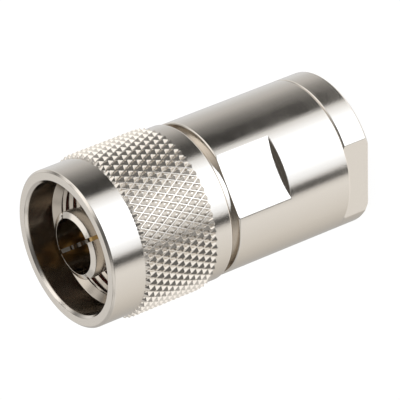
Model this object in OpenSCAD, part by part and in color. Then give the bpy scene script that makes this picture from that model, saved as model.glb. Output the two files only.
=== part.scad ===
// Coaxial cable plug of the clamp pattern with a knurled coupling nut, turned in nickel-plated brass.
// The axis is Z, the mating end points up, and the clamp nut's rear face stands on z = 0.
// Sizes run in chains: outwards from a diameter by wall thicknesses, and forwards from z = 0 by lengths.

/* [Overall lengths] */
// Thickness of the clamp nut's flange
flange_t = 3.7; // [2.5:0.1:6]
// Length of the body from its rear edge to its front face
body_length = 16.52; // [13.5:0.01:24]
// Gap between the body's front face and the coupling nut
nut_gap = 1.05; // [0.5:0.05:2]
// Length of the coupling nut
nut_length = 17.28; // [14.2:0.01:24]

/* [Coupling nut] */
// Nominal diameter of the coupling thread
thread_d = 15.875; // [13:0.005:20]
// Height of the coupling thread's ridge
thread_depth = 0.52; // [0.4:0.01:0.65]
// Wall of the coupling nut outside the thread
nut_wall = 1.89; // [1:0.01:3]
// Depth of the plain counterbore in the nut's mouth
mouth_depth = 3.8; // [2:0.1:5]
// How far the counterbore stands outside the thread
mouth_step = 0.31; // [0.2:0.01:0.7]
// Length of the thread's relief, counted from the nut's web
relief_length = 3.3; // [2:0.1:5]
// How far the relief stands outside the thread
relief_step = 0.16; // [0.1:0.01:0.5]
// Thickness of the web at the nut's rear, which holds the retaining ring
web_t = 3.75; // [3:0.05:4.5]
// Chamfer on the nut's outer edges
nut_chamfer = 0.28; // [0.1:0.01:0.5]
// Chamfer at the nut's mouth
mouth_chamfer = 0.35; // [0.1:0.01:0.7]

/* [Knurl] */
// Number of diamonds round the nut
knurl_count = 59; // [24:1:80]
// Height of the diamonds above their grooves
knurl_depth = 0.34; // [0.15:0.01:0.5]
// Distance along the nut from one row of points to the next
knurl_pitch = 0.985; // [0.6:0.005:1.5]
// Width of the plain band in front of the knurl
front_band = 4.48; // [2:0.02:6]
// Least width of the plain band behind the knurl
rear_band = 2.6; // [1.5:0.05:4]
// Length of the sloping front end of the knurl
knurl_bevel = 0.475; // [0.1:0.005:0.8]
// Turn of the knurl about the axis
knurl_turn = -0.5; // [-3:0.1:3]

/* [Body] */
// Diameter of the body
body_d = 19.27; // [16:0.01:24]
// Wall of the body outside the clamp nut's thread
body_wall = 1.635; // [1.1:0.005:2.2]
// Depth of the body's two wrench flats
body_flat_depth = 0.835; // [0.4:0.005:1]
// Length of the body's wrench flats, from the front face backwards
body_flat_length = 7.67; // [4:0.01:10]
// Break on the body's outer edges
edge_break = 0.15; // [0.05:0.01:0.3]
// Thickness of the body's front wall
front_wall_t = 2.02; // [1.2:0.01:3]
// Wall of the neck that carries the coupling nut
neck_wall = 1.75; // [1.4:0.05:2.5]
// Space between the neck and the ridge of the coupling thread
neck_gap = 0.92; // [0.5:0.01:1.4]
// Length of the neck in front of the body's front face
neck_length = 6.38; // [5.3:0.01:7.7]

/* [Retaining ring] */
// Thickness of the ring along the axis
ring_t = 1.1; // [0.8:0.05:1.4]
// Distance from the nut's rear face to the ring
ring_setback = 1.18; // [0.8:0.01:1.5]
// How far the ring stands out of the neck
ring_stand = 0.5; // [0.3:0.05:0.7]
// How far the ring reaches into the neck
ring_reach = 0.6; // [0.4:0.05:0.8]
// Width of the ring's split
ring_split = 1.1; // [0.5:0.1:3]

/* [Contacts and insulators] */
// Wall between the outer contact's bore and the neck's bore
spigot_wall = 1.25; // [1:0.05:1.5]
// Wall of the slotted sleeve
sleeve_wall = 0.55; // [0.4:0.01:0.7]
// How far the rim of the sleeve's mouth stands outside the sleeve
sleeve_lip = 0.18; // [0.1:0.01:0.3]
// Length of the sleeve's raised rim, with its slopes
lip_length = 2.0; // [1.2:0.1:3]
// Length of the slope across the sleeve's mouth
mouth_slope = 0.44; // [0.2:0.01:0.6]
// Step from the pressed-in spigot down to the sleeve's base
base_step = 0.25; // [0.1:0.01:0.4]
// Distance from the nut's front face back to the sleeve's mouth
sleeve_recess = 1.11; // [0.5:0.01:2]
// Width of the sleeve's slots
slot_w = 0.5; // [0.3:0.05:0.8]
// Number of slots in the sleeve
slot_count = 4; // [2:1:6]
// Distance from the neck's front face to the slots
slot_start = 2.6; // [2.2:0.1:4]
// Length of the sleeve's thick base behind the slots
base_length = 2.3; // [1.9:0.1:3]
// Angle from the body's flats to the first slot
slot_turn = 2.2; // [-45:0.1:45]
// Diameter of the centre contact's mating tip
pin_tip_d = 1.65; // [1.3:0.01:2]
// Length of the centre contact's mating tip
pin_tip_length = 2.84; // [2:0.01:3.5]
// Distance from the sleeve's mouth back to the centre contact's point
pin_recess = 2.5; // [2:0.01:3.5]
// Diameter of the centre contact behind its tip
pin_d = 3.04; // [2.6:0.01:3.6]
// Diameter of the collar that locks the centre contact between the insulators
collar_d = 3.8; // [3.7:0.01:4.5]
// Thickness of that collar
collar_t = 1.1; // [0.8:0.1:1.5]
// Length of the slope at the centre contact's point
pin_slope = 0.9; // [0.5:0.1:1.2]
// Diameter of the flat at the centre contact's point
pin_flat_d = 0.66; // [0.3:0.01:0.9]
// Diameter of the solder cup's hole in the centre contact
cup_d = 2.3; // [1.8:0.01:2.5]
// Distance from the cable gasket's front to the centre contact's rear end
cable_end_gap = 0.4; // [0.2:0.1:1]
// Depth of the solder cup
cup_depth = 5; // [3:0.1:6]
// Diameter of the solder cup's side hole
cup_side_hole_d = 0.8; // [0.5:0.1:1.2]
// Thickness of the front insulator's flange
insulator_flange_t = 0.6; // [0.4:0.1:1]
// Distance from the neck's front face to the front insulator's face
insulator_stand = 2.4; // [1:0.1:2.9]
// Thickness of the gasket on the neck's front face
front_gasket_t = 1.8; // [1.2:0.1:2.2]

/* [Cable clamp] */
// Diameter of the cable that the clamp takes
cable_d = 10.3; // [8.3:0.1:12.4]
// Thickness of the clamp washer
washer_t = 1.0; // [0.6:0.1:1.5]
// Length of the cable gasket
gasket_length = 3.0; // [2:0.1:4]
// Height of the braid clamp's ridge, which sinks into the cable gasket
ridge_height = 0.8; // [0.4:0.1:1.2]
// Length of the braid clamp
braid_clamp_length = 3.2; // [2.6:0.1:4]
// Bore of the braid clamp
braid_bore_d = 8.2; // [6:0.1:9.9]
// Length of the braid clamp's rim behind its cone
rim_length = 1.2; // [0.8:0.1:1.6]
// Thickness of the rear insulator
rear_insulator_t = 0.8; // [0.5:0.1:1.2]
// Height of the clamp nut's thread
clamp_thread_depth = 0.54; // [0.4:0.01:0.7]
// Length of the plain pilot between the clamp nut's flange and its thread
pilot_length = 1.0; // [0.5:0.1:1.5]
// Distance that the body's threaded bore runs on past the clamp nut
thread_run_out = 0.7; // [0.4:0.1:1.2]
// Depth of the clamp nut's two wrench flats
clamp_flat_depth = 1.385; // [0.6:0.005:1.6]
// Angle from the body's flats to the clamp nut's flats
clamp_flat_turn = -34.5; // [-90:0.5:90]
// Chamfer on the clamp nut's rear edge
rear_chamfer = 0.42; // [0.1:0.01:0.8]

/* [Clearances] */
// Radial running clearance between the coupling nut and the neck
running_fit = 0.1; // [0.05:0.01:0.1]
// Radial clearance between the clamp nut's pilot and the body
pilot_fit = 0.06; // [0.03:0.01:0.1]
// Radial clearance of the clamp's sliding parts in the body
stack_fit = 0.1; // [0.05:0.01:0.15]
// Room for the cable in the clamp nut, on the diameter
cable_room = 0.7; // [0.4:0.1:1.5]
// Room along the axis between the retaining ring and its grooves; it rests on the rear wall of the neck's
ring_play = 0.1; // [0.05:0.01:0.15]
// Radial room inside and outside the retaining ring
ring_room = 0.15; // [0.1:0.01:0.3]
// Radial room between the cable and its gasket
gasket_room = 0.05; // [0.02:0.01:0.2]

/* [Hidden] */
$fn = 96;
past = 0.5; // how far a cutter runs past the faces it cuts
nick = 0.2; // width of the smallest bevels

// Radii outwards and inwards from the coupling thread
thread_r = thread_d / 2;
nut_r = thread_r + nut_wall;
mouth_r = thread_r + mouth_step;
neck_r = thread_r - thread_depth - neck_gap;
spigot_r = neck_r - neck_wall;
sleeve_bore_r = spigot_r - spigot_wall;
sleeve_r = sleeve_bore_r + sleeve_wall;
sleeve_lip_r = sleeve_r + sleeve_lip;
contact_base_r = spigot_r - base_step;
insulator_flange_r = (sleeve_bore_r + spigot_r) / 2;

// Radii inwards from the outside of the body
body_r = body_d / 2;
clamp_bore_r = body_r - body_wall;
pilot_r = clamp_bore_r - pilot_fit;
clamp_root_r = pilot_r - clamp_thread_depth;
stack_bore_r = clamp_root_r;
stack_r = stack_bore_r - stack_fit;
cable_bore_r = (cable_d + cable_room) / 2;
cable_gasket_r = cable_d / 2 + gasket_room;
ridge_mid_r = (stack_r + cable_gasket_r) / 2;
ridge_half_w = (stack_r - cable_gasket_r) / 3;
braid_r = braid_bore_d / 2;

// Heights of the faces, from the rear to the front
body_front = flange_t + body_length;
shoulder = body_front - front_wall_t;
stack_front = shoulder - rear_insulator_t;
braid_clamp_rear = stack_front - braid_clamp_length;
gasket_rear = braid_clamp_rear - gasket_length;
clamp_nut_front = gasket_rear - washer_t;
clamp_bore_end = clamp_nut_front + thread_run_out;
contact_seat = shoulder + insulator_flange_t;
neck_front = body_front + neck_length;
nut_rear = body_front + nut_gap;
nut_front = nut_rear + nut_length;
web_front = nut_rear + web_t;
sleeve_mouth = nut_front - sleeve_recess;
pin_point = sleeve_mouth - pin_recess;
pin_shoulder = pin_point - pin_tip_length;
pin_rear = braid_clamp_rear + cable_end_gap;

// The retaining ring and the grooves round it, half in the neck and half in the nut's web
ring_z = nut_rear + ring_setback;
ring_in_r = neck_r - ring_reach;
ring_out_r = neck_r + ring_stand;
groove_in_r = ring_in_r - ring_room;
groove_out_r = ring_out_r + ring_room;
groove_rear = ring_z - ring_play;
groove_front = ring_z + ring_t + ring_play;

// The knurl's grooves stand just clear of the plain bands, so only its ends meet them
knurl_stand = 0.08;
knurl_root_r = nut_r + knurl_stand;
knurl_point_r = knurl_root_r + knurl_depth;
knurl_rows = floor((nut_length - front_band - rear_band) / knurl_pitch);
knurl_top = nut_front - front_band;
knurl_cut = 0.8; // share of a row that is left beyond the last row of points

// A solid turned about the axis from an outline of [radius, height] points
module turned(outline) {
    rotate_extrude() polygon(outline);
}

// A cylinder from one height to another
module bar(r, from, to) {
    translate([0, 0, from]) cylinder(r = r, h = to - from);
}

// What a pair of wrench flats takes away: everything beyond the flats, between two heights
module beyond_flats(half_width, from, to) {
    reach = 2 * half_width;
    for (side = [0, 180])
        rotate(side) translate([half_width, -reach, from]) cube([reach, 2 * reach, to - from]);
}

// Place of the knurl's point or groove crossing in a row, counted from the front, and a column round the nut
function knurl_vertex(row, column) =
    let (r = (row + column) % 2 == 0 ? knurl_point_r : knurl_root_r, a = column * 180 / knurl_count)
    [r * cos(a), r * sin(a), knurl_top - knurl_bevel - row * knurl_pitch];

function between(p, q, share) = p + share * (q - p);

// The same place round the nut, moved to the knurl's root at a height
function at_root(p, z) = [knurl_root_r * p.x / norm([p.x, p.y]), knurl_root_r * p.y / norm([p.x, p.y]), z];

// Diamond knurl: rows of pyramids whose four faces meet in straight crossing grooves. Each cell between two
// rows and two columns is split along its groove. The front end slopes down, the rear end is cut square.
module knurl() {
    columns = 2 * knurl_count;
    last = knurl_rows - 1;
    full_rows = [for (row = [0 : last]) [for (c = [0 : columns - 1]) knurl_vertex(row, c)]];
    // the square cut crosses each column once and, between two columns, the groove that joins them
    cut_row = [for (c = [0 : columns - 1], crossing = [false, true])
        let (at_point = (last + c) % 2 == 0, from = crossing && at_point ? c + 1 : c,
             to = crossing && !at_point ? c + 1 : c)
        between(knurl_vertex(last, from), knurl_vertex(last + 1, to), knurl_cut)];
    end_z = cut_row[0].z - knurl_stand;
    front_row = [for (p = full_rows[0]) at_root(p, knurl_top)];
    end_row = [for (p = cut_row) at_root(p, end_z)];
    points = concat(front_row, [for (row = full_rows) each row], cut_row, end_row);

    cut_at = columns * (knurl_rows + 1);
    end_at = cut_at + 2 * columns;
    row_cells = [for (row = [0 : knurl_rows - 1], c = [0 : columns - 1])
        let (a = row * columns + c, b = row * columns + (c + 1) % columns, point_first = (row + c) % 2 == 1)
        each (point_first
            ? [[a, b, a + columns], [b, b + columns, a + columns]]
            : [[a, b, b + columns], [a, b + columns, a + columns]])];
    cut_cells = [for (c = [0 : columns - 1])
        let (a = cut_at - columns + c, b = cut_at - columns + (c + 1) % columns, a_cut = cut_at + 2 * c,
             groove = a_cut + 1, b_cut = cut_at + (2 * c + 2) % (2 * columns))
        each ((last + c) % 2 == 0
            ? [[a, b, groove], [a, groove, a_cut], [b, b_cut, groove]]
            : [[a, groove, a_cut], [a, b, b_cut], [a, b_cut, groove]])];
    end_cells = [for (i = [0 : 2 * columns - 1])
        let (a = cut_at + i, b = cut_at + (i + 1) % (2 * columns))
        each [[a, b, b + 2 * columns], [a, b + 2 * columns, a + 2 * columns]]];
    front_face = [for (c = [columns - 1 : -1 : 0]) c];
    rear_face = [for (i = [0 : 2 * columns - 1]) end_at + i];
    polyhedron(points, concat([front_face, rear_face], row_cells, cut_cells, end_cells), convexity = 4);
}

module coupling_nut() {
    lead_z = nut_front - mouth_depth - mouth_step;
    color("silver") difference() {
        union() {
            turned([[0, nut_rear], [nut_r - nut_chamfer, nut_rear], [nut_r, nut_rear + nut_chamfer],
                [nut_r, nut_front - nut_chamfer], [nut_r - nut_chamfer, nut_front], [0, nut_front]]);
            rotate(knurl_turn) knurl();
        }
        turned([[0, web_front], [thread_r + relief_step, web_front],
            [thread_r + relief_step, web_front + relief_length], [thread_r, web_front + relief_length],
            [thread_r, lead_z], [mouth_r, lead_z + mouth_step], [mouth_r, nut_front - mouth_chamfer],
            [mouth_r + mouth_chamfer + past, nut_front + past], [0, nut_front + past]]);
        bar(neck_r + running_fit, nut_rear - past, nut_front);
        bar(groove_out_r, groove_rear, groove_front);
    }
}

// Split spring ring that holds the coupling nut on the neck
module retaining_ring() {
    color("goldenrod") difference() {
        bar(ring_out_r, ring_z, ring_z + ring_t);
        bar(ring_in_r, ring_z - past, ring_z + ring_t + past);
        translate([0, -ring_split / 2, ring_z - past]) cube([2 * ring_out_r, ring_split, ring_t + 2 * past]);
    }
}

// Sealing ring that the mating connector's rim presses on
module front_gasket() {
    color("firebrick") difference() {
        bar(neck_r, neck_front, neck_front + front_gasket_t);
        bar(contact_base_r, neck_front - past, neck_front + front_gasket_t + past);
    }
}

// Slotted sleeve on a spigot that is pressed into the neck
module outer_contact() {
    base_front = neck_front + base_length;
    lip_rear = sleeve_mouth - lip_length;
    color("silver") difference() {
        turned([[sleeve_bore_r, contact_seat], [spigot_r, contact_seat], [spigot_r, neck_front],
            [contact_base_r, neck_front], [contact_base_r, base_front], [sleeve_r, base_front],
            [sleeve_r, lip_rear], [sleeve_lip_r, lip_rear + sleeve_lip * 2],
            [sleeve_lip_r, sleeve_mouth - mouth_slope], [sleeve_bore_r, sleeve_mouth]]);
        for (turn = [0 : slot_count - 1])
            rotate(slot_turn + turn * 360 / slot_count)
                translate([0, -slot_w / 2, neck_front + slot_start])
                    cube([neck_r, slot_w, nut_front - neck_front]);
    }
}

// Pin with a collar behind the front insulator and a solder cup at its rear
module centre_contact() {
    color("gold") difference() {
        turned([[0, pin_rear], [pin_d / 2, pin_rear], [pin_d / 2, shoulder], [collar_d / 2, shoulder],
            [collar_d / 2, shoulder + collar_t], [pin_d / 2, shoulder + collar_t],
            [pin_d / 2, pin_shoulder - nick], [pin_d / 2 - nick, pin_shoulder], [pin_tip_d / 2, pin_shoulder],
            [pin_tip_d / 2, pin_point - pin_slope], [pin_flat_d / 2, pin_point], [0, pin_point]]);
        bar(cup_d / 2, pin_rear - past, pin_rear + cup_depth);
        translate([0, 0, pin_rear + 2 * cup_side_hole_d]) rotate([0, 90, 0])
            cylinder(d = cup_side_hole_d, h = pin_d);
    }
}

module front_insulator() {
    color("white") difference() {
        union() {
            bar(insulator_flange_r, shoulder, contact_seat);
            bar(sleeve_bore_r, shoulder, neck_front + insulator_stand);
        }
        bar(pin_d / 2, shoulder - past, nut_front);
        bar(collar_d / 2, shoulder - past, shoulder + collar_t);
    }
}

module rear_insulator() {
    color("white") difference() {
        bar(stack_bore_r, stack_front, shoulder);
        bar(pin_d / 2, stack_front - past, shoulder + past);
    }
}

// Body with the neck at its front, open at the rear for the cable clamp
module body_shell() {
    color("silver") difference() {
        turned([[0, flange_t], [body_r - edge_break, flange_t], [body_r, flange_t + edge_break],
            [body_r, body_front - edge_break], [body_r - edge_break, body_front], [neck_r, body_front],
            [neck_r, ring_z], [groove_in_r, ring_z], [groove_in_r, groove_front], [neck_r, groove_front],
            [neck_r, neck_front], [0, neck_front]]);
        beyond_flats(body_r - body_flat_depth, body_front - body_flat_length, body_front + past);
        bar(clamp_bore_r, flange_t - past, clamp_bore_end);
        bar(stack_bore_r, flange_t, shoulder);
        bar(insulator_flange_r, flange_t, neck_front);
        bar(spigot_r, contact_seat, neck_front + past);
    }
}

// The braid folds back over the cone at the front; the ridge at the rear bites into the cable gasket
module braid_clamp() {
    rim_front = braid_clamp_rear + rim_length;
    color("silver") turned([[braid_r, braid_clamp_rear], [ridge_mid_r - ridge_half_w, braid_clamp_rear],
        [ridge_mid_r, braid_clamp_rear - ridge_height], [ridge_mid_r + ridge_half_w, braid_clamp_rear],
        [stack_r, braid_clamp_rear], [stack_r, rim_front], [stack_r - 2 * nick, rim_front],
        [braid_r + 2 * nick, stack_front], [braid_r, stack_front]]);
}

// Rubber ring that the clamp nut squeezes onto the cable
module cable_gasket() {
    color("dimgray") turned([[cable_gasket_r, gasket_rear], [stack_r, gasket_rear],
        [stack_r, braid_clamp_rear], [ridge_mid_r + ridge_half_w, braid_clamp_rear],
        [ridge_mid_r, braid_clamp_rear - ridge_height],
        [ridge_mid_r - ridge_half_w, braid_clamp_rear], [cable_gasket_r, braid_clamp_rear]]);
}

module clamp_washer() {
    color("silver") difference() {
        bar(stack_r, clamp_nut_front, gasket_rear);
        bar(cable_bore_r, clamp_nut_front - past, gasket_rear + past);
    }
}

// Hollow screw with a flanged head; its thread's ridge stands on the plain root drawn here
module clamp_nut() {
    color("silver") difference() {
        turned([[0, 0], [body_r - rear_chamfer, 0], [body_r, rear_chamfer], [body_r, flange_t - edge_break],
            [body_r - edge_break, flange_t], [pilot_r, flange_t], [pilot_r, flange_t + pilot_length],
            [clamp_root_r, flange_t + pilot_length], [clamp_root_r, clamp_nut_front - edge_break],
            [clamp_root_r - edge_break, clamp_nut_front], [0, clamp_nut_front]]);
        rotate(clamp_flat_turn) beyond_flats(body_r - clamp_flat_depth, -past, flange_t);
        bar(cable_bore_r, -past, clamp_nut_front + past);
    }
}

coupling_nut();
retaining_ring();
front_gasket();
outer_contact();
centre_contact();
front_insulator();
rear_insulator();
body_shell();
braid_clamp();
cable_gasket();
clamp_washer();
clamp_nut();
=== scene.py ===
import math

import bmesh
import bpy
import numpy as np
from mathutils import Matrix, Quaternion, Vector


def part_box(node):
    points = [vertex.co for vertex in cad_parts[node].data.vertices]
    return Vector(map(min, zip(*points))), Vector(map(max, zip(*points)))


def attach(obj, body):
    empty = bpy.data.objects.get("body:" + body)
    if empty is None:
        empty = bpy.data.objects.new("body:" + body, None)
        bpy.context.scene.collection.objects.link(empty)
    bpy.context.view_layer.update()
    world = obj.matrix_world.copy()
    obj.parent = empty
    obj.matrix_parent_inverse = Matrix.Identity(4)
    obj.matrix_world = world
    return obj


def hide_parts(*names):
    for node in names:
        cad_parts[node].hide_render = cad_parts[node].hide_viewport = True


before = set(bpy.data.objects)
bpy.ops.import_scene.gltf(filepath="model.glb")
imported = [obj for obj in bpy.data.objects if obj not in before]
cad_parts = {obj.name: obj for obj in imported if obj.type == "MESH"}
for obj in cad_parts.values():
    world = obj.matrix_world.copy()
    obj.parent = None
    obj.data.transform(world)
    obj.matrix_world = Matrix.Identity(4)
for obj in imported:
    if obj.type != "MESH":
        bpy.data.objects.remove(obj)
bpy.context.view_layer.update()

MM = 0.001
FULL_TURN = 2 * math.pi


# ---- Camera ----
# A long lens looks down at the mating end from one side, rolled until the plug's axis falls from the upper right
# of the picture to the lower left. The plug stands upright and the camera lies over.
scene = bpy.context.scene
scene.view_settings.view_transform = "Standard"

camera_azimuth = math.radians(1.755)
camera_elevation = math.radians(29.825)
camera_roll = math.radians(-111.70)
camera_distance = 491.38 * MM
camera_aim = Vector((0.0, -0.41, 19.21)) * MM

towards_camera = Vector((
    math.cos(camera_elevation) * math.cos(camera_azimuth),
    math.cos(camera_elevation) * math.sin(camera_azimuth),
    math.sin(camera_elevation),
))
lens = bpy.data.cameras.new("long_lens")
lens.sensor_width = 36.0
lens.lens = 370.7
camera = bpy.data.objects.new("camera", lens)
scene.collection.objects.link(camera)
camera.location = camera_aim + towards_camera * camera_distance
camera.rotation_mode = "QUATERNION"
camera.rotation_quaternion = towards_camera.to_track_quat("Z", "Y") @ Quaternion((0, 0, 1), camera_roll)
scene.camera = camera


# ---- Light tent and table ----
# The plug stands on a white table inside a pale cloth tent. The plating mirrors the tent, so the tent is made of
# five rings of bright cloth and dark gaps, one above the other and blended at their edges, under a dark top.
def node(tree, kind, *inputs, output=0, **settings):
    """Adds a shader node, sets its properties, feeds its first sockets in order and returns one of its outputs."""
    made = tree.nodes.new(kind)
    for name, value in settings.items():
        setattr(made, name, value)
    for socket, value in zip(made.inputs, inputs):
        if isinstance(value, bpy.types.NodeSocket):
            tree.links.new(value, socket)
        elif value is not None:
            socket.default_value = value
    return made.outputs[output] if made.outputs else made


def math_node(tree, operation, *inputs):
    """One arithmetic step on shader numbers."""
    return node(tree, "ShaderNodeMath", *inputs, operation=operation)


def ramp(tree, factor, stops):
    """A colour ramp from (position, brightness or colour) stops."""
    made = tree.nodes.new("ShaderNodeValToRGB")
    elements = made.color_ramp.elements
    elements.remove(elements[1])
    for place, (position, value) in enumerate(stops):
        stop = elements[0] if place == 0 else elements.new(position)
        stop.position = position
        stop.color = (*value, 1.0) if isinstance(value, tuple) else (value, value, value, 1.0)
    tree.links.new(factor, made.inputs[0])
    return made.outputs[0]


def mix_colour(tree, factor, first, second):
    """Blends two shader colours."""
    made = tree.nodes.new("ShaderNodeMix")
    made.data_type = "RGBA"
    for index, value in ((0, factor), (6, first), (7, second)):
        if isinstance(value, bpy.types.NodeSocket):
            tree.links.new(value, made.inputs[index])
        else:
            made.inputs[index].default_value = value
    return made.outputs[2]


world = bpy.data.worlds.new("light_tent")
world.use_nodes = True
scene.world = world
tent = world.node_tree
tent.nodes.clear()
x, y, z = (node(tent, "ShaderNodeSeparateXYZ", node(tent, "ShaderNodeTexCoord"), output=i) for i in range(3))
tent_strength = 5.0
heading = math_node(tent, "ADD", math_node(tent, "DIVIDE", math_node(tent, "ARCTAN2", y, x), FULL_TURN), 0.5)


def headings(stops):
    """Turns (degrees from the camera's side, brightness[, tint]) stops into a ramp round the plug's axis. A tint
    moves the colour from neutral towards blue, or towards yellow if it is negative: red stays, green grows by 0.4
    of the tint and blue by all of it. The ramp holds brightness / tent_strength."""
    def colour(brightness, tint=0.0):
        return tuple(brightness / tent_strength * (1 + share * tint) for share in (0.0, 0.4, 1.0))

    return ramp(tent, heading, [(0.5 + degrees / 360, colour(*light)) for degrees, *light in stops])


steep_ring = headings([
    (-180, 1.00), (-168, 0.55), (-157, 0.55), (-147, 1.00), (-124, 1.35), (-90, 1.42), (-50, 1.44), (-15, 1.35),
    (5, 1.35), (30, 1.40), (54, 1.55), (80, 1.75), (100, 1.75), (124, 1.55), (140, 1.25), (150, 1.00), (180, 1.00)])
low_ring = headings([
    (-180, 0.60), (-158, 0.52, -0.06), (-140, 0.60, -0.08), (-120, 0.75, -0.08), (-100, 0.89, -0.05),
    (-80, 0.97, -0.02), (-58, 1.05), (-50, 0.85), (-45, 0.10), (-38, 0.08), (-33, 0.90, 0.06), (-28, 1.25, 0.14),
    (-15, 1.60, 0.18), (-5, 2.40, 0.18), (25, 2.40, 0.18), (35, 1.60, 0.18), (45, 1.30, 0.12), (54, 0.95, 0.06),
    (60, 0.05), (78, 0.06), (100, 0.31), (120, 0.64), (150, 0.84, 0.04), (180, 0.72)])
level_ring = headings([
    (-180, 0.55), (-140, 0.58), (-118, 0.62), (-95, 0.95), (-65, 1.10), (-52, 1.00), (-42, 0.40), (-25, 0.21),
    (25, 0.17), (40, 0.30), (52, 0.95), (70, 1.18), (95, 1.08), (118, 1.10), (130, 1.00), (150, 0.90),
    (165, 0.70), (180, 0.60)])
middle_ring = headings([
    (-180, 0.85), (-150, 0.60), (-119, 0.62), (-100, 0.90), (-75, 0.90), (-50, 0.20), (-10, 0.12), (20, 0.15),
    (45, 0.80), (65, 1.30), (90, 1.50), (104, 1.25), (114, 0.80), (122, 0.22), (130, 0.40), (150, 0.60),
    (180, 0.85)])
upper_ring = headings([
    (-180, 1.00), (-135, 0.85), (-122, 0.12), (-103, 0.15), (-90, 0.90), (-72, 0.95), (-60, 0.70), (-45, 0.24),
    (-10, 0.13), (22, 0.20), (35, 0.40), (45, 0.90), (60, 1.35), (80, 1.50), (90, 1.40), (100, 0.20), (122, 0.12),
    (135, 1.35), (180, 1.00)])
dark_top = (0.024, 0.024, 0.024, 1)
height_share = math_node(tent, "MULTIPLY_ADD", z, 0.5, 0.5)
tent_light = steep_ring
for lower, upper, next_ring in (
        (-0.64, -0.545, low_ring), (-0.34, -0.12, level_ring), (0.16, 0.34, middle_ring),
        (0.58, 0.66, upper_ring), (0.94, 0.97, dark_top)):
    share = ramp(tent, height_share, [(0.5 + lower / 2, 0.0), (0.5 + upper / 2, 1.0)])
    tent_light = mix_colour(tent, share, tent_light, next_ring)
seen_directly = node(tent, "ShaderNodeLightPath", output=0)
backdrop = node(tent, "ShaderNodeBackground", (1, 1, 1, 1), 1.0)
lit = node(tent, "ShaderNodeBackground", tent_light, tent_strength)
node(tent, "ShaderNodeOutputWorld", node(tent, "ShaderNodeMixShader", seen_directly, lit, backdrop))

table_mesh = bpy.data.meshes.new("table")
table_half = 2.0
table_mesh.from_pydata(
    [(-table_half, -table_half, 0), (table_half, -table_half, 0), (table_half, table_half, 0),
     (-table_half, table_half, 0)], [], [(0, 1, 2, 3)])
table = bpy.data.objects.new("table", table_mesh)
scene.collection.objects.link(table)
table.visible_glossy = False

table_white = bpy.data.materials.new("table_white")
table_white.use_nodes = True
tree = table_white.node_tree
tree.nodes.clear()
table_glow = node(tree, "ShaderNodeEmission", (1, 1, 1, 1), 0.94)
table_cloth = node(tree, "ShaderNodeBsdfDiffuse", (0.16, 0.16, 0.16, 1))
own_light = node(tree, "ShaderNodeAddShader", table_glow, table_cloth)
plain = node(tree, "ShaderNodeBsdfDiffuse", (0.8, 0.8, 0.8, 1))
node(tree, "ShaderNodeOutputMaterial",
     node(tree, "ShaderNodeMixShader", node(tree, "ShaderNodeLightPath"), plain, own_light))
table_mesh.materials.append(table_white)


# ---- Body shell ----
# Turned from brass bar and satin nickel plated. Two flats for a wrench are milled in from the front face and end
# at a square wall. The neck in front, with a low collar at its foot, carries the coupling nut, and the wide rear
# bore takes the cable clamp.
def principled(tree, colour, metallic, roughness):
    """Adds the surface shader with plain values on its sockets, and its output."""
    shader = tree.nodes.new("ShaderNodeBsdfPrincipled")
    shader.inputs["Base Color"].default_value = (*colour, 1.0)
    shader.inputs["Metallic"].default_value = metallic
    shader.inputs["Roughness"].default_value = roughness
    node(tree, "ShaderNodeOutputMaterial", shader.outputs[0])
    return shader


def turned_metal(name, colour, roughness, marks, peel=0.5):
    """Plated metal from a lathe. Faint tool marks run round the axis, as noise over radius and height, and the
    plating's peel is a fine even noise; the roughness is cloudy."""
    material = bpy.data.materials.new(name)
    material.use_nodes = True
    tree = material.node_tree
    tree.nodes.clear()
    shader = principled(tree, colour, 1.0, roughness)
    place = node(tree, "ShaderNodeTexCoord", output=3)
    x, y, z = (node(tree, "ShaderNodeSeparateXYZ", place, output=i) for i in range(3))
    radius = math_node(tree, "SQRT", math_node(
        tree, "ADD", math_node(tree, "MULTIPLY", x, x), math_node(tree, "MULTIPLY", y, y)))
    along = node(tree, "ShaderNodeCombineXYZ", radius, 0.0, z)
    tool_marks = node(tree, "ShaderNodeTexNoise", along, None, 6000.0, 2.0, 0.6)
    orange_peel = node(tree, "ShaderNodeTexNoise", place, None, 5200.0, 3.0, 0.6)
    smudges = node(tree, "ShaderNodeTexNoise", place, None, 260.0, 3.0, 0.55)
    cloudy = ramp(tree, smudges, [(0.3, roughness * 0.8), (0.7, roughness * 1.25)])
    tree.links.new(cloudy, shader.inputs["Roughness"])
    bump = tree.nodes.new("ShaderNodeBump")
    bump.inputs["Strength"].default_value = marks
    bump.inputs["Distance"].default_value = 0.01 * MM
    tree.links.new(math_node(tree, "MULTIPLY_ADD", orange_peel, peel / marks, tool_marks), bump.inputs["Height"])
    tree.links.new(bump.outputs[0], shader.inputs["Normal"])
    return material


nickel = turned_metal("satin_nickel", (0.68, 0.63, 0.565), 0.13, 0.4)


def place_mesh(name, points, faces, material, body, stands_for=()):
    """Makes an object from points in millimetres and faces, smooth shaded, hides the CAD parts it stands for and
    ties it to its body.
    """
    mesh = bpy.data.meshes.new(name)
    mesh.from_pydata((np.asarray(points).reshape(-1, 3) * MM).tolist(), [], faces)
    mesh.shade_smooth()
    mesh.materials.append(material)
    made = bpy.data.objects.new(name, mesh)
    scene.collection.objects.link(made)
    if stands_for:
        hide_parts(*stands_for)
    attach(made, body)
    return made


def ring_faces(rows, columns, closed):
    """Quads between neighbouring rows of rings; the columns always meet round the axis, the rows only if closed."""
    row = np.arange(rows if closed else rows - 1)[:, None]
    column = np.arange(columns)[None, :]
    next_row, next_column = (row + 1) % rows, (column + 1) % columns
    corners = (row * columns + column, row * columns + next_column,
               next_row * columns + next_column, next_row * columns + column)
    return np.stack([np.broadcast_to(c, (len(row), columns)) for c in corners], -1).reshape(-1, 4).tolist()


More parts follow.
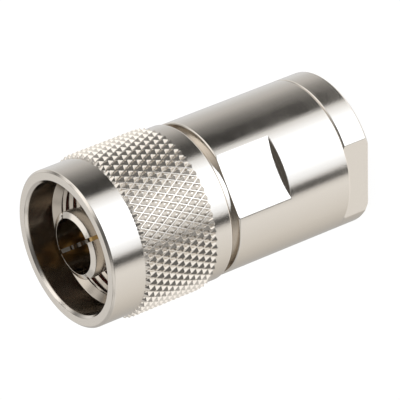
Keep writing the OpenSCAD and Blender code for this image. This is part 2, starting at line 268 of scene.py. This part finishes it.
def around(radius, height, angle):
    """Points at each radius and height carried round the axis: x and y from the angle, z from the height."""
    radius, height = np.broadcast_arrays(radius, height)
    return np.stack([radius * np.cos(angle), radius * np.sin(angle), height + 0 * angle], -1)


def softened(outline, edge, hold=0.04):
    """The outline's corners cut to short arcs: each arc is a quadratic curve between points one edge length
    before and after the corner, with one more point beyond each end to keep the straight stretches straight. So
    each corner becomes seven points."""
    corner = np.asarray(outline, float)
    back = np.roll(corner, 1, axis=0) - corner
    ahead = np.roll(corner, -1, axis=0) - corner
    back_length = np.linalg.norm(back, axis=1, keepdims=True)
    ahead_length = np.linalg.norm(ahead, axis=1, keepdims=True)
    reach = np.minimum(edge, 0.3 * np.minimum(back_length, ahead_length))
    further = np.minimum(reach + hold, 0.45 * np.minimum(back_length, ahead_length))
    start, end = corner + back / back_length * reach, corner + ahead / ahead_length * reach
    share = np.linspace(0, 1, 5)[None, :, None]
    arc = ((1 - share) ** 2 * start[:, None] + 2 * share * (1 - share) * corner[:, None]
           + share ** 2 * end[:, None])
    before, after = corner + back / back_length * further, corner + ahead / ahead_length * further
    return np.concatenate([before[:, None], arc, after[:, None]], axis=1).reshape(-1, 2)


def even_round(count=288):
    """Evenly spaced angles round the axis."""
    return np.arange(count) * FULL_TURN / count


def with_flats(radius, half_width, turn, blend=0.05):
    """Angles crowded at the edges of two flats, and the outline's radius there: the lesser of the circle and the
    two planes, blended over a small width."""
    edge = math.acos(half_width / radius)
    near = np.linspace(-1, 1, 15) ** 3 * math.radians(3) + np.linspace(-1, 1, 15) * math.radians(0.4)
    edges = np.array([side + turn + way * edge for side in (0, math.pi) for way in (-1, 1)])
    crowded = (edges[:, None] + near[None, :]).ravel()
    plain = even_round(180)
    gap = np.abs((plain[:, None] - edges[None, :] + math.pi) % FULL_TURN - math.pi).min(axis=1)
    angle = np.sort(np.concatenate([plain[gap > math.radians(3.9)], crowded % FULL_TURN]))
    plane = half_width / np.maximum(np.abs(np.cos(angle - turn)), 0.2)
    share = np.clip(0.5 + 0.5 * (plane - radius) / blend, 0, 1)
    return angle, plane + (radius - plane) * share - blend * share * (1 - share)


def constant(points, angle):
    """Rows of plain circles from (radius, height) points, ready to be stacked with rows that have flats."""
    points = np.asarray(points)
    return [(np.full_like(angle, r), np.full_like(angle, h)) for r, h in points]


body_low, body_high = (np.array(corner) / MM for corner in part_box("body_shell"))
body_r = body_high[0]
body_rear, neck_front = body_low[2], body_high[2]
body_front = 20.22
neck_r = 6.4975
body_flat = 8.8
flat_length = 7.67
flat_wall = body_front - flat_length
edge_break = 0.15
clamp_bore_r, clamp_bore_front = 8.0, 10.9
stack_bore_r = 7.4
flange_bore_r, flange_rear = 4.1225, 18.2
spigot_r, spigot_rear = 4.7475, 18.8

angle, outline = with_flats(body_r, body_flat, 0.0)
depth = body_r - outline
cut = np.minimum(depth / 0.05, 1.0)
corner_round = np.minimum(0.04, depth / 2)
front_break = np.clip(edge_break - depth, 0.03, edge_break)
full = np.full_like(angle, body_r)


def wall_row(radius, height, spread):
    """One row at the flats' end wall; where there is no flat, the rows lie side by side on the cylinder."""
    return radius, height + spread * (1 - cut)


rear_edge = softened([
    (clamp_bore_r, body_rear), (body_r - edge_break, body_rear), (body_r, body_rear + edge_break),
    (body_r, flat_wall), (clamp_bore_r, flat_wall)], 0.03)[7:22]
body_rows = constant(rear_edge, angle)
body_rows[-1] = (full, np.full_like(angle, flat_wall - 0.25))
body_rows += [
    wall_row(full, flat_wall - corner_round, -0.12),
    wall_row(full - 0.3 * corner_round, flat_wall - 0.3 * corner_round, -0.08),
    wall_row(full - corner_round, flat_wall + 0 * angle, -0.04),
    wall_row(outline + 0.1 * depth, flat_wall + 0 * angle, 0.0),
    wall_row(outline, flat_wall + 0.0 * angle, 0.04),
    wall_row(outline, flat_wall + 0.04 + 0 * angle, 0.08),
    (outline, body_front - front_break - 0.05),
    (outline, body_front - front_break),
    (outline - front_break, np.full_like(angle, body_front)),
    (outline - front_break - 0.05, np.full_like(angle, body_front)),
]
ring_rear, ring_front = 22.45, 23.65
collar_r = 8.7
collar_length = 0.98
collar_front = body_front + collar_length
groove_r = neck_r - 0.75
inside = softened([
    (collar_r + 0.04, body_front), (collar_r, body_front), (collar_r, collar_front), (neck_r, collar_front),
    (neck_r, ring_rear), (groove_r, ring_rear), (groove_r, ring_front), (neck_r, ring_front),
    (neck_r, neck_front), (spigot_r, neck_front), (spigot_r, spigot_rear), (flange_bore_r, spigot_rear),
    (flange_bore_r, flange_rear), (stack_bore_r, flange_rear), (stack_bore_r, clamp_bore_front),
    (clamp_bore_r, clamp_bore_front), (clamp_bore_r, body_rear), (clamp_bore_r + 0.5, body_rear)], 0.04)[6:-6]
body_rows += constant(inside, angle)
body_points = np.stack([around(r, h, angle) for r, h in body_rows])
place_mesh("body_shell_turned", body_points, ring_faces(len(body_rows), len(angle), True), nickel, "body",
           ["body_shell"])


# ---- Clamp nut ----
# A hollow screw turned and plated like the body. Its flanged head closes the body's rear and has two flats of its
# own; the screw behind the plain pilot presses the washer and gasket onto the cable.
def ridge_coil(bottom_r, crest_r, hidden_r, pitch, low, high, low_fade, high_fade, phase, steps=144):
    """A right-hand thread: rows follow the helix, height = row + pitch * angle / turn, and the radius runs from the
    bottom up a 60 degree flank to the crest and back once a pitch. Both ends fade into the hidden radius."""
    shape = np.array([(0.0, 0.0), (0.06, 0.0), (0.10, 0.04), (0.37, 0.96), (0.41, 1.0), (0.59, 1.0), (0.63, 0.96),
                      (0.90, 0.04), (0.94, 0.0)])
    per_pitch = len(shape)
    turns = int(math.ceil((high - low) / pitch)) + 2
    rows = turns * per_pitch
    row = np.arange(rows)
    start = low - pitch + pitch * (row // per_pitch + shape[row % per_pitch, 0])
    angle = even_round(steps)
    height = start[:, None] + pitch * angle[None, :] / FULL_TURN
    radius = np.broadcast_to((bottom_r + (crest_r - bottom_r) * shape[row % per_pitch, 1])[:, None], height.shape)
    sign = 1 if crest_r > bottom_r else -1
    fade = np.clip(np.minimum((height - low) / low_fade, (high - height) / high_fade), 0, 1)
    limit = hidden_r + (crest_r - hidden_r) * fade
    radius = np.minimum(radius * sign, limit * sign) * sign
    height = np.clip(height, low - 0.02, high + 0.02)
    points = around(radius, height, angle[None, :] + phase)
    index = row[:, None] * steps + np.arange(steps)[None, :]
    closing = np.concatenate([index[:, 1:], index[:, :1]], axis=1)
    closing[:, -1] = np.where(row + per_pitch < rows, (row + per_pitch) * steps, -1)
    quads = np.stack([index[:-1], closing[:-1], closing[1:], index[1:]], -1).reshape(-1, 4)
    quads = quads[(quads >= 0).all(axis=1)]
    if sign < 0:
        quads = quads[:, ::-1]
    return points, quads.tolist()


clamp_flat = 8.25
clamp_turn = math.radians(-34.5)
rear_chamfer = 0.42
clamp_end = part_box("clamp_nut")[1][2] / MM
flange_front = body_rear
cable_bore_r = 5.5
pilot_r, screw_root_r = 7.94, 7.4
screw_rear = flange_front + 1.0
screw_pitch = 1.0

angle, outline = with_flats(body_r, clamp_flat, clamp_turn)
depth = body_r - outline
rear_break = np.clip(rear_chamfer - depth, 0.03, rear_chamfer)
front_break = np.clip(edge_break - depth, 0.03, edge_break)
flat_row = np.zeros_like(angle)
bore_edge = softened([(cable_bore_r, 1.0), (cable_bore_r, 0.0), (cable_bore_r + 1, 0.0)], 0.12)[7:14]
clamp_rows = constant(bore_edge, angle)
clamp_rows += [
    (outline - rear_break - 0.05, flat_row),
    (outline - rear_break, flat_row),
    (outline - 0.97 * rear_break, 0.03 * rear_break),
    (outline - 0.03 * rear_break, 0.97 * rear_break),
    (outline, rear_break),
    (outline, rear_break + 0.04),
    (outline, flange_front - front_break - 0.04),
    (outline, flange_front - front_break),
    (outline - front_break, flat_row + flange_front),
    (outline - front_break - 0.05, flat_row + flange_front),
]
clamp_rows += constant(softened([
    (8.2, flange_front), (pilot_r, flange_front), (pilot_r, screw_rear), (screw_root_r, screw_rear),
    (screw_root_r, clamp_end - edge_break), (screw_root_r - edge_break, clamp_end), (cable_bore_r, clamp_end),
    (cable_bore_r, clamp_end - 1)], 0.04)[7:-7], angle)
clamp_points = np.stack([around(r, h, angle) for r, h in clamp_rows])
place_mesh("clamp_nut_turned", clamp_points, ring_faces(len(clamp_rows), len(angle), True), nickel, "clamp_nut",
           ["clamp_nut"])
screw_points, screw_quads = ridge_coil(
    screw_root_r - 0.03, pilot_r, screw_root_r - 0.1, screw_pitch, screw_rear, clamp_end - 0.1, 0.4, 0.5, 0.0)
place_mesh("clamp_nut_thread", screw_points, screw_quads, nickel, "clamp_nut")


# ---- Coupling nut ----
# Turned from brass bar, rolled with a diamond knurl between two plain bands, and plated. It turns freely on the
# body's neck. A cone leads the socket from the mouth to the inside thread, which draws it in.
def turned(name, outline, edge, material, body, stands_for=(), count=288):
    """A closed outline of radius and height, with its corners softened, carried round the axis."""
    profile = softened(outline, edge)
    angle = even_round(count)
    points = around(profile[:, :1], profile[:, 1:], angle[None, :])
    return place_mesh(name, points, ring_faces(len(profile), count, True), material, body, stands_for)


nut_low, nut_high = (np.array(corner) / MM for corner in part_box("coupling_nut"))
nut_rear, nut_front = nut_low[2], nut_high[2]
thread_r, thread_crest_r = 7.9375, 7.4175
thread_pitch = 25.4 / 24
nut_wall, mouth_step, relief_step = 1.89, 0.31, 0.16
nut_bevel, mouth_bevel = 0.28, 0.35
nut_r = thread_r + nut_wall
mouth_r = thread_r + mouth_step
relief_r = thread_r + relief_step
nut_bore_r = neck_r + 0.1
web_t, relief_length = 3.75, 3.3
web_front = nut_rear + web_t
relief_front = web_front + relief_length
lead_rear = nut_front - 4.11
lead_r = thread_crest_r + 0.04
first_ridge_rear = lead_rear - 0.52
ridge_flank = 0.25
ring_room_r, ring_room_rear, ring_room_front = 7.15, 22.35, 23.65
nut = turned("coupling_nut_turned", [
    (nut_bore_r, nut_rear), (nut_r - nut_bevel, nut_rear), (nut_r, nut_rear + nut_bevel),
    (nut_r, nut_front - nut_bevel), (nut_r - nut_bevel, nut_front), (mouth_r + mouth_bevel, nut_front),
    (mouth_r, nut_front - mouth_bevel), (mouth_r, lead_rear + mouth_step),
    (lead_r, lead_rear + mouth_step - (mouth_r - lead_r)), (lead_r, first_ridge_rear),
    (thread_r, first_ridge_rear - ridge_flank), (thread_r, relief_front), (relief_r, relief_front),
    (relief_r, web_front), (nut_bore_r, web_front), (nut_bore_r, ring_room_front),
    (ring_room_r, ring_room_front), (ring_room_r, ring_room_rear), (nut_bore_r, ring_room_rear)],
    0.05, nickel, "coupling_nut", ["coupling_nut"], 360)
coil_points, coil_quads = ridge_coil(
    thread_r + 0.03, thread_crest_r, thread_r + 0.06, thread_pitch, relief_front - 0.2, first_ridge_rear,
    0.5, 0.1, 0.3)
coil = place_mesh("coupling_nut_thread", coil_points, coil_quads, nickel, "coupling_nut")

# A darker copy of the satin nickel for the inside of the bores: painted shade where little light gets in, with
# slightly more roughness and fainter marks.
painted_shade_nickel = turned_metal("satin_nickel_painted_bore_shade", (0.46, 0.41, 0.35), 0.16, 0.2, 0.15)


def paint_bore_shade(piece, radius, top):
    """Gives the faces inside a radius and below a height a darker copy of the plating: painted shade of a deep
    bore.
    """
    mesh = piece.data
    mesh.materials.append(painted_shade_nickel)
    centre = np.zeros(3 * len(mesh.polygons))
    mesh.polygons.foreach_get("center", centre)
    centre = centre.reshape(-1, 3) / MM
    inside = (np.hypot(centre[:, 0], centre[:, 1]) < radius) & (centre[:, 2] < top)
    mesh.polygons.foreach_set("material_index", inside.astype(np.int32))


# The nut's mouth, bore and thread take the painted bore shade.
paint_bore_shade(nut, mouth_r + 0.1, nut_front - 0.3)
paint_bore_shade(coil, mouth_r, nut_front)

knurl_count = 59
knurl_turn = math.radians(-0.5)
knurl_pitch = 0.985
knurl_root_r = nut_r + 0.08
front_band = 4.48
knurl_top = nut_front - front_band
knurl_bevel = 0.475
knurl_rows = 10
groove = 0.106
crest = 0.192
knurl_point_r = knurl_root_r + (nut_high[0] - knurl_root_r) / (1 - crest)
foot_r = nut_r - 0.01
knurl_foot = (foot_r - knurl_root_r) / (knurl_point_r - knurl_root_r)
rear_cut = 0.8


def knurl_cells(cell, first_row, rows, pitch, top):
    """Copies the polygons of one cell to every row and column. A cell spans half a diamond each way, from a point
    at its corner (0, 0) to the next point at (1, 1), and every second one is mirrored. In it, a polygon's numbers
    are the share across, the share along, and the height above the grooves as a share of the diamond's height."""
    row, column = (index.ravel() for index in np.meshgrid(
        first_row + np.arange(rows), np.arange(2 * knurl_count), indexing="ij"))
    mirrored = (row + column) % 2 == 1
    points, faces, start = [], [], 0
    for polygon in cell:
        across, along, high = (np.array(values)[None, :] for values in zip(*polygon))
        across = np.where(mirrored[:, None], 1 - across, across)
        angle = (column[:, None] + across) * math.pi / knurl_count + knurl_turn
        radius = knurl_root_r + (knurl_point_r - knurl_root_r) * high
        height = top - (row[:, None] - first_row + along) * pitch
        corners = around(radius, height, angle)
        corners[~mirrored] = corners[~mirrored][:, ::-1]
        points.append(corners.reshape(-1, 3))
        faces += (start + np.arange(len(row) * len(polygon)).reshape(len(row), -1)).tolist()
        start += len(row) * len(polygon)
    return np.concatenate(points), faces


def knurl_facet(points):
    """Gives each (across, along) place its height: a straight fall from the cell's corner to the groove's edge,
    cut off at the crest."""
    return [(a, b, max(0.0, min(1 - (a + b) / (1 - groove), 1 - crest))) for a, b in points]


def far_corner(points):
    """The same polygon seen from the cell's other point."""
    return [(1 - a, 1 - b, high) for a, b, high in points]


flat = crest * (1 - groove)
side = 1 - groove
crest_polygon = knurl_facet([(0, 0), (flat, 0), (0, flat)])
slope_polygon = knurl_facet([(flat, 0), (side, 0), (0, side), (0, flat)])
floor_polygon = [(side, 0, 0), (1, 0, 0), (1, groove, 0), (groove, 1, 0), (0, 1, 0), (0, side, 0)]
whole_cell = [crest_polygon, slope_polygon, floor_polygon, far_corner(crest_polygon), far_corner(slope_polygon)]

cut_high = 1 - (1 - rear_cut) / side
left_high = 1 - rear_cut / side
rear_cell = [
    crest_polygon,
    [(flat, 0, 1 - crest), (side, 0, 0), (side - rear_cut, rear_cut, 0), (0, rear_cut, left_high),
     (0, flat, 1 - crest)],
    [(side, 0, 0), (1, 0, 0), (1, groove, 0), (2 - side - rear_cut, rear_cut, 0), (side - rear_cut, rear_cut, 0)],
    [(1, groove, 0), (1, rear_cut, cut_high), (2 - side - rear_cut, rear_cut, 0)],
    [(0, rear_cut, left_high), (side - rear_cut, rear_cut, 0), (0, rear_cut, 0)],
    [(2 - side - rear_cut, rear_cut, 0), (1, rear_cut, cut_high), (1, rear_cut, 0)],
]
high_side = 1 - crest
meet = (high_side - 1 + 1 / side) / (1 / side + high_side / knurl_bevel)
meet_high = high_side * (1 - meet / knurl_bevel)
front_cell = [
    [(0, 0, high_side), (flat, 0, high_side), (side - knurl_bevel, knurl_bevel, knurl_foot),
     (0, knurl_bevel, knurl_foot)],
    [(flat, 0, high_side), (side, 0, 0), (side - knurl_bevel, knurl_bevel, knurl_foot)],
    [(side, 0, 0), (1, 0, 0), (1, groove, 0), (2 - side - knurl_bevel, knurl_bevel, knurl_foot),
     (side - knurl_bevel, knurl_bevel, knurl_foot)],
    [(1, groove, 0), (1, meet, meet_high), (2 - side - knurl_bevel, knurl_bevel, knurl_foot)],
    [(1, meet, meet_high), (1, knurl_bevel, knurl_foot), (2 - side - knurl_bevel, knurl_bevel, knurl_foot)],
]
first_ring = knurl_top - knurl_bevel
sections = [
    knurl_cells(whole_cell, 0, knurl_rows - 1, knurl_pitch, first_ring),
    knurl_cells(rear_cell, knurl_rows - 1, 1, knurl_pitch, first_ring - (knurl_rows - 1) * knurl_pitch),
    knurl_cells(front_cell, 0, 1, -knurl_pitch, first_ring),
]
knurl_points, knurl_faces, count = [], [], 0
for place, (points, faces) in enumerate(sections):
    turned_over = place == 2
    knurl_faces += [[count + i for i in (reversed(face) if turned_over else face)] for face in faces]
    knurl_points.append(points)
    count += len(points)
rolled_nickel = turned_metal("satin_nickel_rolled", (0.68, 0.63, 0.565), 0.2, 0.6, 1.5)
knurl = place_mesh("coupling_nut_knurl", np.concatenate(knurl_points), knurl_faces, rolled_nickel, "coupling_nut")
knurl.data.shade_flat()
welded = bmesh.new()
welded.from_mesh(knurl.data)
bmesh.ops.remove_doubles(welded, verts=welded.verts, dist=0.002 * MM)
welded.to_mesh(knurl.data)
welded.free()


# ---- Retaining ring ----
# A split ring of spring bronze that sits in grooves of the neck and the nut, and is almost out of sight. It is
# bent from wire of a square section.
def open_ring_faces(rows, columns):
    """Quads of a closed section carried part of the way round the axis, with a cap on each of its two ends."""
    sides = [face for face in ring_faces(rows, columns, True)
             if {face[0] % columns, face[1] % columns} != {0, columns - 1}]
    start = [row * columns for row in range(rows)]
    end = [row * columns + columns - 1 for row in reversed(range(rows))]
    return sides + [start, end]


bronze = turned_metal("spring_bronze", (0.55, 0.33, 0.17), 0.3, 0.3)
ring_low, ring_high = (np.array(corner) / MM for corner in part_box("retaining_ring"))
ring_in, ring_out = 5.8975, 6.9975
split_half = 0.55
half_split = math.asin(split_half / ring_in)
ring_profile = softened([(ring_in, ring_low[2]), (ring_out, ring_low[2]), (ring_out, ring_high[2]),
                         (ring_in, ring_high[2])], 0.08)
ring_angle = np.linspace(half_split, FULL_TURN - half_split, 200)
ring_points = around(ring_profile[:, :1], ring_profile[:, 1:], ring_angle[None, :])
place_mesh("retaining_ring_wire", ring_points, open_ring_faces(*ring_points.shape[:2]), bronze, "body",
           ["retaining_ring"])


# ---- Outer contact ----
# A nickel-plated sleeve whose front end is slotted into four sprung fingers with a raised, cone-faced rim. Its
# spigot is pressed into the neck.
sleeve_in, sleeve_out, sleeve_rim = 3.4975, 4.0475, 4.2275
sleeve_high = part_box("outer_contact")[1][2] / MM
base_r, base_front = 4.4975, neck_front + 2.3
slot_start = neck_front + 2.6
rim_rear = sleeve_high - 2.0
turned("outer_contact_base", [
    (sleeve_in, spigot_rear), (spigot_r, spigot_rear), (spigot_r, neck_front), (base_r, neck_front),
    (base_r, base_front), (sleeve_out, base_front), (sleeve_out, slot_start), (sleeve_in, slot_start)], 0.03,
    nickel, "body", ["outer_contact"])

finger_profile = softened([
    (sleeve_in, slot_start), (sleeve_out, slot_start), (sleeve_out, rim_rear), (sleeve_rim, rim_rear + 0.36),
    (sleeve_rim, sleeve_high - 0.3), (sleeve_in, sleeve_high)], 0.05)
slot_half = 0.25
finger_share = np.concatenate([[0, 0.004, 0.012], np.linspace(0.03, 0.97, 60), [0.988, 0.996, 1]])
slot_edge = np.arcsin(slot_half / finger_profile[:, :1])
slot_turn = math.radians(2.2)
finger_count = 4
for finger in range(finger_count):
    from_angle = slot_turn + finger * FULL_TURN / finger_count
    finger_angle = from_angle + slot_edge + (FULL_TURN / finger_count - 2 * slot_edge) * finger_share[None, :]
    finger_points = around(finger_profile[:, :1], finger_profile[:, 1:], finger_angle)
    contact_finger = place_mesh(
        f"outer_contact_finger_{finger + 1}", finger_points, open_ring_faces(*finger_points.shape[:2]), nickel,
        "body")
    # The inside of the fingers takes the painted bore shade.
    paint_bore_shade(contact_finger, sleeve_in + 0.03, sleeve_high)


# ---- Front gasket ----
# A flat ring of red silicone round the sleeve's base; the socket's rim presses on it.
def soft_plastic(name, colour, roughness, grain, grain_size):
    """Moulded or turned plastic and rubber: one colour with a slight unevenness and a fine grain in the surface."""
    material = bpy.data.materials.new(name)
    material.use_nodes = True
    tree = material.node_tree
    tree.nodes.clear()
    shader = principled(tree, colour, 0.0, roughness)
    place = node(tree, "ShaderNodeTexCoord", output=3)
    patches = node(tree, "ShaderNodeTexNoise", place, None, 900.0, 3.0, 0.6)
    darker = tuple(0.86 * c for c in colour)
    tree.links.new(ramp(tree, patches, [(0.35, darker), (0.65, colour)]), shader.inputs["Base Color"])
    bump = tree.nodes.new("ShaderNodeBump")
    bump.inputs["Strength"].default_value = grain
    bump.inputs["Distance"].default_value = 0.02 * MM
    tree.links.new(node(tree, "ShaderNodeTexNoise", place, None, 1.0 / grain_size, 3.0, 0.6), bump.inputs["Height"])
    tree.links.new(bump.outputs[0], shader.inputs["Normal"])
    return material


red_silicone = soft_plastic("red_silicone", (0.42, 0.035, 0.025), 0.45, 0.5, 0.15 * MM)
gasket_low, gasket_high = (np.array(corner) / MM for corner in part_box("front_gasket"))
turned("front_gasket_ring", [
    (base_r, gasket_low[2]), (neck_r, gasket_low[2]), (neck_r, gasket_high[2]), (base_r, gasket_high[2])], 0.12,
    red_silicone, "body", ["front_gasket"])


# ---- Centre contact ----
# A gold-plated pin with a stepped, pointed tip, a collar that locks it between the insulators, and a solder cup.
gold = turned_metal("gold_plate", (0.72, 0.47, 0.18), 0.28, 0.25)
pin_low, pin_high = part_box("centre_contact")[0][2] / MM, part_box("centre_contact")[1][2] / MM
pin_r, tip_r, cup_r, pin_collar_r = 1.52, 0.825, 1.15, 1.9
axis_r, tip_flat_r = 0.02, 0.33
cup_floor = pin_low + 5
pin_collar_front = 19.3
pin_step, step_bevel = pin_high - 2.84, 0.2
tip_slope = 0.9
pin_outline = [
    (axis_r, cup_floor), (cup_r, cup_floor), (cup_r, pin_low), (pin_r, pin_low), (pin_r, flange_rear),
    (pin_collar_r, flange_rear), (pin_collar_r, pin_collar_front), (pin_r, pin_collar_front),
    (pin_r, pin_step - step_bevel), (pin_r - step_bevel, pin_step), (tip_r, pin_step),
    (tip_r, pin_high - tip_slope), (tip_flat_r, pin_high), (axis_r, pin_high)]
pin_profile = softened(pin_outline, 0.03)[3:-3]
pin_columns = 96
pin_points = around(pin_profile[:, :1], pin_profile[:, 1:], even_round(pin_columns)[None, :])
pin_faces = ring_faces(len(pin_profile), pin_columns, False)
last_ring = (len(pin_profile) - 1) * pin_columns
pin_faces += [list(range(pin_columns - 1, -1, -1)), list(range(last_ring, last_ring + pin_columns))]
place_mesh("centre_contact_pin", pin_points, pin_faces, gold, "body", ["centre_contact"])


# ---- Insulators ----
# White turned plastic: a long plug inside the sleeve and a thin disc behind it.
white_plastic = soft_plastic("white_insulator", (0.86, 0.85, 0.81), 0.38, 0.25, 0.08 * MM)
insulator_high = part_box("front_insulator")[1][2] / MM
turned("front_insulator_plug", [
    (pin_collar_r, flange_rear), (flange_bore_r, flange_rear), (flange_bore_r, spigot_rear),
    (sleeve_in, spigot_rear), (sleeve_in, insulator_high), (pin_r, insulator_high), (pin_r, pin_collar_front),
    (pin_collar_r, pin_collar_front)], 0.04, white_plastic, "body", ["front_insulator"])
disc_low, disc_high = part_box("rear_insulator")[0][2] / MM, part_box("rear_insulator")[1][2] / MM
turned("rear_insulator_disc", [
    (pin_r, disc_low), (stack_bore_r, disc_low), (stack_bore_r, disc_high), (pin_r, disc_high)], 0.05,
    white_plastic, "body", ["rear_insulator"])


# ---- Cable clamp ----
# Behind the screw lie a plated washer, a black rubber gasket and the plated braid clamp, whose ridge sinks into
# the gasket.
black_rubber = soft_plastic("black_rubber", (0.025, 0.025, 0.027), 0.6, 0.6, 0.1 * MM)
braid_clamp_length, rim_length, rim_bevel, ridge_height = 3.2, 1.2, 0.4, 0.8
clamp_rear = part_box("braid_clamp")[1][2] / MM - braid_clamp_length
gasket_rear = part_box("cable_gasket")[0][2] / MM
washer_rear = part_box("clamp_washer")[0][2] / MM
clamp_front = clamp_rear + braid_clamp_length
stack_r, gasket_in, braid_r = 7.3, 5.2, 4.1
ridge_mid, ridge_half = (stack_r + gasket_in) / 2, (stack_r - gasket_in) / 3
turned("clamp_washer_ring", [
    (cable_bore_r, washer_rear), (stack_r, washer_rear), (stack_r, gasket_rear), (cable_bore_r, gasket_rear)],
    0.08, nickel, "clamp_stack", ["clamp_washer"])
turned("cable_gasket_ring", [
    (gasket_in, gasket_rear), (stack_r, gasket_rear), (stack_r, clamp_rear), (ridge_mid + ridge_half, clamp_rear),
    (ridge_mid, clamp_rear - ridge_height), (ridge_mid - ridge_half, clamp_rear), (gasket_in, clamp_rear)],
    0.06, black_rubber, "clamp_stack", ["cable_gasket"])
turned("braid_clamp_cone", [
    (braid_r, clamp_rear), (ridge_mid - ridge_half, clamp_rear), (ridge_mid, clamp_rear - ridge_height),
    (ridge_mid + ridge_half, clamp_rear), (stack_r, clamp_rear), (stack_r, clamp_rear + rim_length),
    (stack_r - rim_bevel, clamp_rear + rim_length), (braid_r + rim_bevel, clamp_front), (braid_r, clamp_front)],
    0.05, nickel, "clamp_stack", ["braid_clamp"])
